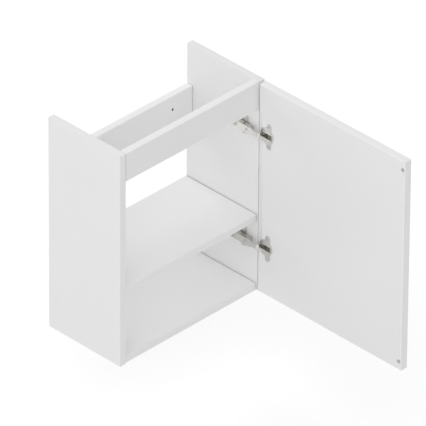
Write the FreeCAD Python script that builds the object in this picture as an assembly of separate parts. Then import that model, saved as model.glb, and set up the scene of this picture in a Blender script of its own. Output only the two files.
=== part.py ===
import FreeCAD, Part
import os

# Wall-hung under-sink cabinet: a carcass of five boards and a back rail, and one hinged door.
# Millimetres. X runs to the right, the front faces -Y, Z points up.
# The model is laid out from the rear plane (y = 0) and the underside of the side panels (z = 0),
# with the door shut, and is moved to its final frame when it is written.

# Carcass
cabinet_width = 400.0
cabinet_height = 495.0
carcass_depth = 200.0
board_thickness = 16.0
shelf_end_gap = 1.5
front_rail_end_gap = 0.3
back_rail_end_gap = 0.8
inner_setback = 2.0
lower_compartment_height = 149.0
front_rail_height = 65.0
back_rail_height = 100.0
back_rail_drop = 93.0
edge_band = 1.0
edge_round = 0.8

# Wall fixing holes in the back rail
wall_hole_spacing = 256.0
wall_hole_below_rail_top = 32.0
wall_hole_radius = 3.0

# Door and its finger grip
door_thickness = 18.0
door_reveal = 2.0
door_gap = 2.5
door_band = 2.0
door_round = 1.5
grip_length = 180.0
grip_height = 30.0
grip_from_edge = 53.0
grip_below_top = 60.0
grip_depth = 13.0
grip_lip_depth = 1.0
bumper_radius = 4.0
bumper_free_play = 0.3
bumper_from_end = 22.0

# Board joints: cam locks, cam bolts and dowels
fastener_clearance = 0.05
bore_end_play = 0.5
cam_radius = 7.5
cam_depth = 12.5
cam_distance = 34.0
cam_driver_width = 1.6
cam_driver_length = 8.0
cam_driver_depth = 2.5
bolt_thread_radius = 2.5
bolt_thread_length = 11.0
bolt_shank_radius = 3.0
bolt_neck_radius = 2.0
bolt_neck_length = 4.0
bolt_head_radius = 3.3
bolt_head_length = 4.0
bolt_hole_radius = 4.0
head_pocket_play = 0.3
dowel_radius = 4.0
dowel_in_side = 10.0
dowel_in_board = 20.0
dowel_chamfer = 1.0
shelf_cam_from_edge = 45.0
rail_cam_above_base = 22.0
rail_dowel_below_top = 20.0

# Hinges
hinge_from_end = 115.0
rest_opening = 90.0
plate_setback = 37.0
plate_hole_pitch = 32.0
plate_base = 2.5
plate_wing_half = 8.0
plate_wing_reach = 24.0
plate_rib_height = 11.0
plate_rib_half = 6.0
plate_rib_front = 23.0
plate_rib_rear = 25.0
plate_screw_radius = 2.5
plate_screw_length = 12.0
plate_screw_head_radius = 4.2
plate_screw_head_height = 2.2
arm_thickness = 3.0
arm_half = 8.0
arm_flange_depth = 7.0
arm_flange_clearance = 0.1
arm_rear_overhang = 2.0
arm_front_setback = 8.0
arm_taper_length = 5.0
neck_half = 5.0
neck_bend_radius = 3.0
neck_offset = 0.4
knuckle_radius = 2.3
pin_radius = 1.25
pin_half_length = 9.0
running_clearance = 0.06
swing_clearance = 0.35
arm_screw_radius = 2.5
arm_screw_head_radius = 4.5
arm_screw_head_height = 2.5
arm_screw_grip = 6.0
arm_screw_behind_plate = 15.0
adjuster_radius = 3.0
adjuster_height = 4.5
adjuster_ahead_of_plate = 16.0
driver_slot_width = 1.0
driver_slot_depth = 1.0
cup_radius = 17.5
cup_edge_distance = 3.0
cup_depth = 12.5
cup_wall = 1.5
cup_floor = 1.0
cup_trough_half = 6.0
cup_trough_reach = 14.5
cup_flange = 1.2
cup_flange_radius = 18.5
cup_flange_hinge_side = 12.0
cup_ear_radius = 6.0
cup_ear_spacing = 48.0
cup_ear_offset = 6.0
cup_screw_radius = 1.75
cup_screw_length = 13.0
cup_screw_head_radius = 3.4
cup_screw_head_height = 1.6

# Places worked out from the sizes above
half_width = cabinet_width / 2
inner_half = half_width - board_thickness
front_y = -carcass_depth
inner_front_y = front_y + inner_setback
shelf_base = board_thickness + lower_compartment_height
front_rail_base = cabinet_height - front_rail_height
back_rail_top = cabinet_height - back_rail_drop
back_rail_base = back_rail_top - back_rail_height
wall_hole_z = back_rail_top - wall_hole_below_rail_top

door_back_y = front_y - door_gap
door_front_y = door_back_y - door_thickness
door_half = half_width - door_reveal
door_base = door_reveal
door_top = cabinet_height - door_reveal

hinge_heights = {"lower": hinge_from_end, "upper": cabinet_height - hinge_from_end}
plate_y = front_y + plate_setback
arm_inner_x = inner_half - plate_rib_height
arm_outer_x = arm_inner_x - arm_thickness
arm_rear_y = plate_y + plate_rib_rear + arm_rear_overhang
arm_front_y = front_y + arm_front_setback
cup_x = door_half - cup_edge_distance - cup_radius
trough_side_x = door_half - cup_edge_distance - cup_wall
trough_floor_y = door_back_y - cup_depth + cup_floor
pivot_x = trough_side_x - swing_clearance - knuckle_radius
pivot_y = trough_floor_y + swing_clearance + knuckle_radius

AXES = "xyz"
ALONG_X = FreeCAD.Vector(1, 0, 0)
ALONG_Y = FreeCAD.Vector(0, 1, 0)
ALONG_Z = FreeCAD.Vector(0, 0, 1)
TINY = 1e-6

os.makedirs("parts", exist_ok=True)


def box(x0, x1, y0, y1, z0, z1):
    """A block between two opposite corners."""
    return Part.makeBox(x1 - x0, y1 - y0, z1 - z0, FreeCAD.Vector(x0, y0, z0))


def rod(x, y, z, direction, radius, length):
    """A round rod or bore that starts at a point and runs along a direction."""
    return Part.makeCylinder(radius, length, FreeCAD.Vector(x, y, z), direction)


def rod_between_x(x0, x1, y, z, radius):
    """A round rod or bore along X between two places."""
    return rod(min(x0, x1), y, z, ALONG_X, radius, abs(x1 - x0))


def slot_prism(start, end, radius, direction, length):
    """A round-ended slot from one centre to another, as deep as length along direction."""
    sideways = direction.cross(end - start).normalize() * radius
    corners = [start + sideways, end + sideways, end - sideways, start - sideways, start + sideways]
    middle = Part.Face(Part.makePolygon(corners)).extrude(direction * length)
    ends = [Part.makeCylinder(radius, length, centre, direction) for centre in (start, end)]
    return middle.fuse(ends).removeSplitter()


def banding(low, high, outward, run, radius):
    """An edge strip between two corners, with the two long arrises of its outer side rounded."""
    strip = box(low[0], high[0], low[1], high[1], low[2], high[2])
    across = AXES.index(outward[1])
    outer = high[across] if outward[0] == "+" else low[across]
    arrises = []
    for edge in strip.Edges:
        ends = edge.Vertexes
        lengthwise = abs((ends[1].Point - ends[0].Point)[AXES.index(run)]) > TINY
        if lengthwise and abs(edge.CenterOfMass[across] - outer) < TINY:
            arrises.append(edge)
    return strip.makeFillet(radius, arrises)


def write(node, solids):
    """Writes one node, moved so that the wall fixing holes' centre is the origin."""
    shape = Part.makeCompound(solids)
    shape.translate(FreeCAD.Vector(0, 0, -wall_hole_z))
    shape.exportStep("parts/" + node + ".step")


def write_on_door(node, solids):
    """Writes one node of the door, swung from shut to its open rest pose."""
    shape = Part.makeCompound(solids)
    shape.rotate(FreeCAD.Vector(pivot_x, pivot_y, 0), ALONG_Z, rest_opening)
    write(node, shape.Solids)


# Where each board is joined to the sides: its end, the cam's face, then (y, z) of each cam and each dowel
bottom_mid_z = board_thickness / 2
shelf_mid_z = shelf_base + board_thickness / 2
front_rail_mid_y = front_y + board_thickness / 2
back_rail_mid_y = -board_thickness / 2
cam_rows_y = (front_y + shelf_cam_from_edge, -shelf_cam_from_edge)
joints = {
    "bottom": {
        "end": inner_half - shelf_end_gap,
        "face": "under",
        "cams": [(y, bottom_mid_z) for y in cam_rows_y],
        "dowels": [(front_y / 2, bottom_mid_z)],
    },
    "shelf": {
        "end": inner_half - shelf_end_gap,
        "face": "under",
        "cams": [(y, shelf_mid_z) for y in cam_rows_y],
        "dowels": [(front_y / 2, shelf_mid_z)],
    },
    "front_rail": {
        "end": inner_half - front_rail_end_gap,
        "face": "rear",
        "cams": [(front_rail_mid_y, front_rail_base + rail_cam_above_base)],
        "dowels": [(front_rail_mid_y, cabinet_height - rail_dowel_below_top)],
    },
    "back_rail": {
        "end": inner_half - back_rail_end_gap,
        "face": "rear",
        "cams": [(back_rail_mid_y, back_rail_base + rail_cam_above_base)],
        "dowels": [(back_rail_mid_y, back_rail_top - rail_dowel_below_top)],
    },
}
CAM_INWARD = {"under": ALONG_Z, "rear": -ALONG_Y}


def cam_face_point(joint, side, y, z):
    """The centre of a cam's outer face, on the board's underside or rear."""
    centre = FreeCAD.Vector(side * (joint["end"] - cam_distance), y, z)
    return centre - CAM_INWARD[joint["face"]] * (board_thickness / 2)


def cam_lock(joint, side, y, z):
    """A cam with a pocket for the bolt head and a cross recess for the driver."""
    inward = CAM_INWARD[joint["face"]]
    start = cam_face_point(joint, side, y, z)
    cam = Part.makeCylinder(cam_radius - fastener_clearance, cam_depth - bore_end_play, start, inward)
    centre_x = side * (joint["end"] - cam_distance)
    pocket_radius = bolt_head_radius + head_pocket_play
    pocket_end = centre_x - side * pocket_radius
    cam = cam.cut(rod_between_x(pocket_end, centre_x + side * cam_radius, y, z, pocket_radius))
    sideways = inward.cross(ALONG_X)
    cross_arms = ((cam_driver_length, cam_driver_width), (cam_driver_width, cam_driver_length))
    for reach_x, reach_side in cross_arms:
        corner = start - ALONG_X * (reach_x / 2) - sideways * (reach_side / 2)
        outline = [
            corner,
            corner + ALONG_X * reach_x,
            corner + ALONG_X * reach_x + sideways * reach_side,
            corner + sideways * reach_side,
            corner,
        ]
        cam = cam.cut(Part.Face(Part.makePolygon(outline)).extrude(inward * cam_driver_depth))
    return cam


def cam_bolt(joint, side, y, z):
    """A bolt screwed into the side panel, with a necked head inside the cam."""
    centre_x = side * (joint["end"] - cam_distance)
    head_outer = centre_x + side * bolt_head_length / 2
    neck_outer = head_outer + side * bolt_neck_length
    face_x = side * inner_half
    lengths = [
        (face_x + side * bolt_thread_length, face_x, bolt_thread_radius),
        (face_x, neck_outer, bolt_shank_radius),
        (neck_outer, head_outer, bolt_neck_radius),
        (head_outer, head_outer - side * bolt_head_length, bolt_head_radius),
    ]
    turned = [rod_between_x(x0, x1, y, z, radius) for x0, x1, radius in lengths]
    return turned[0].fuse(turned[1:])


def dowel(joint, side, y, z):
    """A wooden dowel with chamfered ends, partly in the side and partly in the board."""
    pin = rod_between_x(side * (inner_half + dowel_in_side), side * (joint["end"] - dowel_in_board),
                        y, z, dowel_radius - fastener_clearance)
    rims = [edge for edge in pin.Edges if edge.isClosed()]
    return pin.makeChamfer(dowel_chamfer, rims)


def side_bores(side):
    """The bores that the board joints need in one side panel."""
    face_x = side * inner_half
    bores = []
    for joint in joints.values():
        bolt_end = face_x + side * (bolt_thread_length + bore_end_play)
        for y, z in joint["cams"]:
            bores.append(rod_between_x(face_x, bolt_end, y, z, bolt_thread_radius + fastener_clearance))
        dowel_end = face_x + side * (dowel_in_side + bore_end_play)
        for y, z in joint["dowels"]:
            bores.append(rod_between_x(face_x, dowel_end, y, z, dowel_radius))
    return bores


def end_bores(joint):
    """The bores that one board needs at its two ends."""
    bores = []
    for side in (-1, 1):
        end_x = side * joint["end"]
        for y, z in joint["cams"]:
            start = cam_face_point(joint, side, y, z)
            bores.append(rod_between_x(end_x, start.x, y, z, bolt_hole_radius))
            bores.append(Part.makeCylinder(cam_radius, cam_depth, start, CAM_INWARD[joint["face"]]))
        for y, z in joint["dowels"]:
            depth = dowel_in_board + bore_end_play
            bores.append(rod_between_x(end_x, end_x - side * depth, y, z, dowel_radius))
    return bores


def side_panel(side):
    """One side panel's core, bored for its joints and, on the hinge side, for the hinge plates."""
    x0, x1 = sorted((side * half_width, side * inner_half))
    core = box(x0, x1, front_y + edge_band, 0, edge_band, cabinet_height - edge_band)
    bores = side_bores(side)
    if side > 0:
        for height in hinge_heights.values():
            for offset in (-plate_hole_pitch / 2, plate_hole_pitch / 2):
                depth = plate_screw_length + bore_end_play
                bores.append(rod(inner_half, plate_y, height + offset, ALONG_X,
                                 plate_screw_radius + fastener_clearance, depth))
    return core.cut(bores)


def side_bands(side):
    """The front, top and bottom strips of one side panel."""
    x0, x1 = sorted((side * half_width, side * inner_half))
    core_front = front_y + edge_band
    core_top = cabinet_height - edge_band
    return [
        banding((x0, front_y, 0), (x1, core_front, cabinet_height), "-y", "z", edge_round),
        banding((x0, core_front, core_top), (x1, 0, cabinet_height), "+z", "y", edge_round),
        banding((x0, core_front, 0), (x1, 0, edge_band), "-z", "y", edge_round),
    ]


def flat_board(joint, base):
    """The core of the bottom or the shelf."""
    end = joint["end"]
    core = box(-end, end, inner_front_y + edge_band, 0, base, base + board_thickness)
    return core.cut(end_bores(joint))


def flat_board_band(joint, base):
    """The strip on the front edge of the bottom or the shelf."""
    end = joint["end"]
    return banding((-end, inner_front_y, base),
                   (end, inner_front_y + edge_band, base + board_thickness), "-y", "x", edge_round)


def rail(joint, y0, base, top):
    """The core of the front or back rail."""
    end = joint["end"]
    core = box(-end, end, y0, y0 + board_thickness, base + edge_band, top - edge_band)
    return core.cut(end_bores(joint))


def rail_bands(joint, y0, base, top):
    """The strips on the top and bottom edges of a rail."""
    end = joint["end"]
    y1 = y0 + board_thickness
    return [
        banding((-end, y0, top - edge_band), (end, y1, top), "+z", "x", edge_round),
        banding((-end, y0, base), (end, y1, base + edge_band), "-z", "x", edge_round),
    ]


def wall_holes():
    """The two fixing holes through the back rail."""
    return [rod(x, 0, wall_hole_z, -ALONG_Y, wall_hole_radius, board_thickness)
            for x in (-wall_hole_spacing / 2, wall_hole_spacing / 2)]


def grip_pocket():
    """The finger grip: a round-ended recess, deep under its upper edge and running out below."""
    radius = grip_height / 2
    centre_z = door_top - grip_below_top
    first_x = -door_half + grip_from_edge + radius
    last_x = first_x + grip_length - grip_height
    start = FreeCAD.Vector(first_x, door_front_y, centre_z)
    end = FreeCAD.Vector(last_x, door_front_y, centre_z)
    pocket = slot_prism(start, end, radius, ALONG_Y, grip_depth)
    low_z, high_z = centre_z - radius, centre_z + radius
    back_y = door_front_y + grip_depth
    left_x = first_x - radius
    ramp = [
        FreeCAD.Vector(left_x, door_front_y + grip_lip_depth, low_z),
        FreeCAD.Vector(left_x, back_y, low_z),
        FreeCAD.Vector(left_x, back_y, high_z),
        FreeCAD.Vector(left_x, door_front_y + grip_lip_depth, low_z),
    ]
    return pocket.cut(Part.Face(Part.makePolygon(ramp)).extrude(ALONG_X * grip_length))


def door_panel():
    """The door's core, with the grip, the cup bores and the cup screws' pilot holes."""
    core = box(-door_half + door_band, door_half - door_band, door_front_y, door_back_y,
               door_base + door_band, door_top - door_band)
    cuts = [grip_pocket()]
    for height in hinge_heights.values():
        cuts.append(rod(cup_x, door_back_y, height, -ALONG_Y, cup_radius, cup_depth))
        for x, z in cup_screw_places():
            cuts.append(rod(x, door_back_y, height + z, -ALONG_Y, cup_screw_radius + fastener_clearance,
                            cup_screw_length - cup_flange + bore_end_play))
    return core.cut(cuts)


def door_bands():
    """The four strips round the door."""
    core_half = door_half - door_band
    strips = []
    for low_x, outward in ((-door_half, "-x"), (core_half, "+x")):
        strips.append(banding((low_x, door_front_y, door_base),
                              (low_x + door_band, door_back_y, door_top), outward, "z", door_round))
    for low_z, outward in ((door_base, "-z"), (door_top - door_band, "+z")):
        strips.append(banding((-core_half, door_front_y, low_z),
                              (core_half, door_back_y, low_z + door_band), outward, "x", door_round))
    return strips


def bumper_pads():
    """Two round pads on the door's back that meet the left side panel's front edge."""
    x = -half_width + board_thickness / 2
    thickness = door_gap - bumper_free_play
    return [rod(x, door_back_y, z, ALONG_Y, bumper_radius, thickness)
            for z in (bumper_from_end, cabinet_height - bumper_from_end)]


def cup_screw_places():
    """The (x, z) of the two cup screws, from the hinge's own height."""
    return [(cup_x - cup_ear_offset, z) for z in (-cup_ear_spacing / 2, cup_ear_spacing / 2)]


def mounting_plate():
    """A winged base with a raised rib that the arm sits over."""
    base_x = inner_half - plate_base
    wing_end = plate_wing_reach - plate_wing_half
    plate = slot_prism(FreeCAD.Vector(base_x, plate_y, -wing_end), FreeCAD.Vector(base_x, plate_y, wing_end),
                       plate_wing_half, ALONG_X, plate_base)
    plate = plate.fuse(box(arm_inner_x, inner_half, plate_y - plate_rib_front, plate_y + plate_rib_rear,
                           -plate_rib_half, plate_rib_half)).removeSplitter()
    holes = [rod(base_x, plate_y, z, ALONG_X, plate_screw_radius + fastener_clearance, plate_base)
             for z in (-plate_hole_pitch / 2, plate_hole_pitch / 2)]
    holes.append(rod(arm_inner_x, plate_y + arm_screw_behind_plate, 0, ALONG_X,
                     arm_screw_radius + fastener_clearance, arm_screw_grip + bore_end_play))
    return plate.cut(holes)


def slotted_screw(x, y, z, head_radius, head_height, radius, length):
    """A screw driven along +X whose head lies at a seat x, with a driver slot across the head."""
    head = rod(x - head_height, y, z, ALONG_X, head_radius, head_height)
    shank = rod(x, y, z, ALONG_X, radius, length)
    slot = box(x - head_height, x - head_height + driver_slot_depth, y - head_radius, y + head_radius,
               z - driver_slot_width / 2, z + driver_slot_width / 2)
    return head.fuse(shank).cut(slot)


def plate_screws():
    """The two screws that hold a mounting plate to the side panel."""
    seat_x = inner_half - plate_base
    return [slotted_screw(seat_x, plate_y, z, plate_screw_head_radius, plate_screw_head_height,
                          plate_screw_radius, plate_base + plate_screw_length)
            for z in (-plate_hole_pitch / 2, plate_hole_pitch / 2)]


def hinge_arm():
    """A channel over the mounting plate whose top runs on as a hooked neck to the hinge pin."""
    channel = box(arm_outer_x, arm_inner_x, arm_front_y, arm_rear_y, -arm_half, arm_half)
    flange_start = plate_rib_half + arm_flange_clearance
    flanges = [box(arm_inner_x, arm_inner_x + arm_flange_depth, plate_y - plate_rib_front, arm_rear_y, z0, z1)
               for z0, z1 in ((-arm_half, -flange_start), (flange_start, arm_half))]
    neck_start_y = arm_front_y - arm_taper_length
    taper_points = [(arm_front_y, -arm_half), (arm_front_y, arm_half), (neck_start_y, neck_half),
                    (neck_start_y, -neck_half), (arm_front_y, -arm_half)]
    taper_face = Part.Face(Part.makePolygon([FreeCAD.Vector(arm_outer_x, y, z) for y, z in taper_points]))
    taper = taper_face.extrude(ALONG_X * arm_thickness)
    return channel.fuse(flanges + [taper, hooked_neck(neck_start_y)]).removeSplitter().cut(arm_holes())


def hooked_neck(start_y):
    """The neck from the arm's front, bent towards the hinge edge and ending in the knuckle."""
    run_front_y = pivot_y - neck_offset - arm_thickness / 2
    run_rear_y = run_front_y + arm_thickness
    bend_x = arm_inner_x + neck_bend_radius
    bend_y = run_rear_y + neck_bend_radius
    height = 2 * neck_half
    outer = rod(bend_x, bend_y, -neck_half, ALONG_Z, neck_bend_radius + arm_thickness, height)
    inner = rod(bend_x, bend_y, -neck_half, ALONG_Z, neck_bend_radius, height)
    corner = box(arm_outer_x, bend_x, run_front_y, bend_y, -neck_half, neck_half)
    bend = outer.cut(inner).common(corner)
    straight = box(arm_outer_x, arm_inner_x, bend_y, start_y, -neck_half, neck_half)
    run = box(bend_x, pivot_x, run_front_y, run_rear_y, -neck_half, neck_half)
    knuckle = rod(pivot_x, pivot_y, -neck_half, ALONG_Z, knuckle_radius, height)
    bore = rod(pivot_x, pivot_y, -neck_half, ALONG_Z, pin_radius + running_clearance, height)
    return straight.fuse([bend, run, knuckle]).removeSplitter().cut(bore)


def arm_holes():
    """The holes in the arm for its fixing screw and its adjusting screw."""
    fixing = (plate_y + arm_screw_behind_plate, arm_screw_radius)
    adjusting = (plate_y - adjuster_ahead_of_plate, adjuster_radius)
    return [rod(arm_outer_x, y, 0, ALONG_X, radius + fastener_clearance, arm_thickness)
            for y, radius in (fixing, adjusting)]


def arm_screws():
    """The screw that fixes an arm to its plate, and the headless adjusting screw ahead of it."""
    fixing = slotted_screw(arm_outer_x, plate_y + arm_screw_behind_plate, 0, arm_screw_head_radius,
                           arm_screw_head_height, arm_screw_radius, arm_thickness + arm_screw_grip)
    y = plate_y - adjuster_ahead_of_plate
    adjuster = rod(arm_inner_x - adjuster_height, y, 0, ALONG_X, adjuster_radius, adjuster_height)
    slot = box(arm_inner_x - adjuster_height, arm_inner_x - adjuster_height + driver_slot_depth,
               y - adjuster_radius, y + adjuster_radius, -driver_slot_width / 2, driver_slot_width / 2)
    return [fixing, adjuster.cut(slot)]


def hinge_cup():
    """A cup bored for the hinge pin, with a trough for the neck and a flange with two screw ears."""
    cup = rod(cup_x, door_back_y, 0, -ALONG_Y, cup_radius - fastener_clearance, cup_depth)
    flange = rod(cup_x, door_back_y, 0, ALONG_Y, cup_flange_radius, cup_flange)
    ear_ends = [FreeCAD.Vector(x, door_back_y, z) for x, z in cup_screw_places()]
    ears = slot_prism(ear_ends[0], ear_ends[1], cup_ear_radius, ALONG_Y, cup_flange)
    trim_x = cup_x + cup_flange_hinge_side
    trim = box(trim_x, trim_x + cup_flange_radius, door_back_y, door_back_y + cup_flange,
               -cup_flange_radius, cup_flange_radius)
    trough = box(cup_x - cup_trough_reach, trough_side_x, trough_floor_y, door_back_y + cup_flange,
                 -cup_trough_half, cup_trough_half)
    pin_bore = rod(pivot_x, pivot_y, -cup_radius, ALONG_Z, pin_radius + fastener_clearance, 2 * cup_radius)
    holes = [rod(x, door_back_y, z, ALONG_Y, cup_screw_radius + fastener_clearance, cup_flange)
             for x, z in cup_screw_places()]
    return cup.fuse(flange.fuse(ears).cut(trim)).removeSplitter().cut([trough, pin_bore] + holes)


def cup_screws():
    """The two screws that hold a cup to the door."""
    seat_y = door_back_y + cup_flange
    screws = []
    for x, z in cup_screw_places():
        head = rod(x, seat_y, z, ALONG_Y, cup_screw_head_radius, cup_screw_head_height)
        shank = rod(x, seat_y, z, -ALONG_Y, cup_screw_radius, cup_screw_length)
        slot_base = seat_y + cup_screw_head_height - driver_slot_depth
        slot = box(x - cup_screw_head_radius, x + cup_screw_head_radius, slot_base,
                   slot_base + driver_slot_depth, z - driver_slot_width / 2, z + driver_slot_width / 2)
        screws.append(head.fuse(shank).cut(slot))
    return screws


def hinge_pin():
    """The pin held by the cup's walls, on which the arm's knuckle turns."""
    return rod(pivot_x, pivot_y, -pin_half_length, ALONG_Z, pin_radius, 2 * pin_half_length)


def raised(solids, height):
    """Copies of a hinge's solids at its height on the cabinet."""
    return [solid.translated(FreeCAD.Vector(0, 0, height)) for solid in solids]


# Boards and their edge bands
for side, name in ((-1, "left"), (1, "right")):
    write(name + "_side_panel", [side_panel(side)])
    write(name + "_side_edge_bands", side_bands(side))
write("bottom_panel", [flat_board(joints["bottom"], 0)])
write("bottom_edge_band", [flat_board_band(joints["bottom"], 0)])
write("shelf_panel", [flat_board(joints["shelf"], shelf_base)])
write("shelf_edge_band", [flat_board_band(joints["shelf"], shelf_base)])
front_span = (joints["front_rail"], front_y, front_rail_base, cabinet_height)
write("front_rail", [rail(*front_span)])
write("front_rail_edge_bands", rail_bands(*front_span))
back_span = (joints["back_rail"], -board_thickness, back_rail_base, back_rail_top)
write("back_rail", [rail(*back_span).cut(wall_holes())])
write("back_rail_edge_bands", rail_bands(*back_span))

# Board joints
for name, joint in joints.items():
    sides = (-1, 1)
    write(name + "_cam_locks", [cam_lock(joint, s, y, z) for s in sides for y, z in joint["cams"]])
    write(name + "_cam_bolts", [cam_bolt(joint, s, y, z) for s in sides for y, z in joint["cams"]])
    write(name + "_dowels", [dowel(joint, s, y, z) for s in sides for y, z in joint["dowels"]])

# Door
write_on_door("door_panel", [door_panel()])
write_on_door("door_edge_bands", door_bands())
write_on_door("door_bumper_pads", bumper_pads())

# Hinges
for name, height in hinge_heights.items():
    write(name + "_hinge_plate", raised([mounting_plate()], height))
    write(name + "_hinge_plate_screws", raised(plate_screws(), height))
    write(name + "_hinge_arm", raised([hinge_arm()], height))
    write(name + "_hinge_arm_screws", raised(arm_screws(), height))
    write_on_door(name + "_hinge_cup", raised([hinge_cup()], height))
    write_on_door(name + "_hinge_cup_screws", raised(cup_screws(), height))
    write_on_door(name + "_hinge_pin", raised([hinge_pin()], height))
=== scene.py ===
"""Looks of a white wall-hung under-sink cabinet: boards, edge bands, door, hinges, fittings and stage."""

import math

import bmesh
import bpy
from bpy.props import FloatProperty, FloatVectorProperty, IntProperty, PointerProperty
from mathutils import Matrix, Vector


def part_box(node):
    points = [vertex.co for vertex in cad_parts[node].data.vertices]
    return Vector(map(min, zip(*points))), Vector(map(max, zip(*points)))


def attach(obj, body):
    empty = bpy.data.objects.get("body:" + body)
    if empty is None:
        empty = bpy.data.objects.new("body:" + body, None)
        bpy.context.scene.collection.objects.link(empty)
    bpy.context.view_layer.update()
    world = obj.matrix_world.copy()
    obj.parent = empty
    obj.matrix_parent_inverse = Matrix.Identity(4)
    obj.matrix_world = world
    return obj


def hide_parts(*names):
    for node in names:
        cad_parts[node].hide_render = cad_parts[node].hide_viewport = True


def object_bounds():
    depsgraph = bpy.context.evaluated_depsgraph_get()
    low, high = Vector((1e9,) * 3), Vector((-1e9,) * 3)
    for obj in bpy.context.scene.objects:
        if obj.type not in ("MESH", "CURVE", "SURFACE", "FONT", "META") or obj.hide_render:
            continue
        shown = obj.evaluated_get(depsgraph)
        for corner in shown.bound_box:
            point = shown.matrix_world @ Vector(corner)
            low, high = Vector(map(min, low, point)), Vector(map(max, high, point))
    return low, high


bl_info = {
    "name": "Under-sink cabinet",
    "version": (1, 0, 0),
    "blender": (4, 5, 0),
    "location": "View3D > Sidebar > Cabinet",
    "description": "Finishes a wall-hung under-sink cabinet and sets it on a plain stage",
    "category": "Object",
}

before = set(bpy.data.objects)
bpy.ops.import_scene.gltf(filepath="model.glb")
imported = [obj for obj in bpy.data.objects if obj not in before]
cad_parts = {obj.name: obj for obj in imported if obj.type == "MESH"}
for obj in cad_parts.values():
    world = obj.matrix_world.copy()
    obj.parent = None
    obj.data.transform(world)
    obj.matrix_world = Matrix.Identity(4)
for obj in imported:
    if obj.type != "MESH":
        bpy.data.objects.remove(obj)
CAD_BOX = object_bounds()

MM = 0.001
AXES = "xyz"
MERGE_DISTANCE = 1e-6
FLAT_ANGLE = math.radians(0.5)
SMOOTH_ANGLE = math.radians(32)

# Each melamine board and the axis across its two white faces
BOARDS = {
    "left_side_panel": "x",
    "right_side_panel": "x",
    "bottom_panel": "z",
    "shelf_panel": "z",
    "front_rail": "y",
    "back_rail": "y",
}
# Each finish of edge band, and the nodes that have it; the rail and door finishes are the carcass band's
# white painted lighter, as painted light on their edges
EDGE_BANDS = {
    "carcass_band": ("left_side_edge_bands", "right_side_edge_bands", "bottom_edge_band", "shelf_edge_band"),
    "rail_band": ("front_rail_edge_bands", "back_rail_edge_bands"),
    "door_band": ("door_edge_bands",),
}
HINGES = ("upper", "lower")
# Each pressed part of a hinge, and the body that carries it and its screws
HINGE_PARTS = {"plate": "carcass", "arm": "carcass", "cup": "door"}
# Each jointed board, and the direction that its cams' outer faces look
CAM_FACES = {
    "bottom": Vector((0, 0, -1)),
    "shelf": Vector((0, 0, -1)),
    "front_rail": Vector((0, 1, 0)),
    "back_rail": Vector((0, 1, 0)),
}


# Settings that a user would change

def colour(name, description, default):
    """A colour setting."""
    return FloatVectorProperty(name=name, description=description, default=default,
                               subtype="COLOR", size=3, min=0, max=1)


def metres(name, description, default):
    """A length setting in metres."""
    return FloatProperty(name=name, description=description, default=default,
                         subtype="DISTANCE", unit="LENGTH", min=0, precision=5)


def watts(name, description, default):
    """A lamp's power in watts."""
    return FloatProperty(name=name, description=description, default=default, unit="POWER", min=0)


def fraction(name, description, default):
    """A setting from 0 to 1."""
    return FloatProperty(name=name, description=description, default=default,
                         subtype="FACTOR", min=0, max=1)


class CabinetFinishes(bpy.types.PropertyGroup):
    """Colours and gloss of the cabinet's surfaces."""

    board_white: colour("Board white", "Melamine on the faces of the boards", (0.9, 0.9, 0.9))
    carcass_band: colour("Carcass band", "Edge strips of the sides, bottom and shelf", (0.9, 0.9, 0.9))
    # Painted light: the rail and door bands are the same white strip as the carcass band, painted lighter
    # where their edges catch more light
    rail_band: colour("Rail band", "Edge strips of the rails", (0.95, 0.95, 0.95))
    door_band: colour("Door band", "Edge strips of the door", (0.95, 0.95, 0.95))
    door_white: colour("Door white", "Foil on the door", (0.9, 0.9, 0.9))
    # Painted shade: the grip's colour is painted darker with depth in place of the shade that falls in the
    # recess
    grip_painted_shade: colour("Grip painted shade", "Painted shade in the deepest part of the grip", (0.55, 0.55, 0.55))
    chip_light: colour("Light chips", "Palest chips in the boards' cut edges", (0.50, 0.39, 0.26))
    chip_dark: colour("Dark chips", "Darkest chips in the boards' cut edges", (0.15, 0.10, 0.06))
    nickel: colour("Nickel", "Plated hinge plates, arms and cups", (0.66, 0.65, 0.62))
    zinc: colour("Zinc", "Plated screws, bolts and pins", (0.60, 0.61, 0.63))
    cast_zinc: colour("Cast zinc", "Cam locks", (0.42, 0.43, 0.45))
    beech: colour("Beech", "Wooden dowels", (0.56, 0.36, 0.19))
    pad: colour("Pad", "Soft pads on the back of the door", (0.70, 0.72, 0.73))
    board_roughness: fraction("Board roughness", "Gloss of the melamine, where 1 is matt", 0.42)
    band_roughness: fraction("Band roughness", "Gloss of the edge bands, where 1 is matt", 0.36)
    grip_roughness: fraction("Grip roughness", "Gloss of the grip's lacquer, where 1 is matt", 0.6)


class CabinetGrip(bpy.types.PropertyGroup):
    """Sizes of the finger grip routed into the door."""

    length: metres("Length", "From end to end", 180 * MM)
    height: metres("Height", "From the lower to the upper edge", 30 * MM)
    from_edge: metres("From free edge", "From the door's free edge to the grip", 53 * MM)
    below_top: metres("Below top", "From the door's top to the grip's middle", 60 * MM)
    depth: metres("Depth", "Under the upper edge", 13 * MM)
    lip_depth: metres("Lip depth", "At the lower edge, where the grip runs out", 1 * MM)
    ramp_share: fraction("Ramp share", "Share of the height that the floor slopes over", 0.65)
    rim_round: metres("Rim round", "Rounding of the rim", 1.2 * MM)
    floor_round: metres("Floor round", "Rounding between the wall and the floor", 3 * MM)


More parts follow.
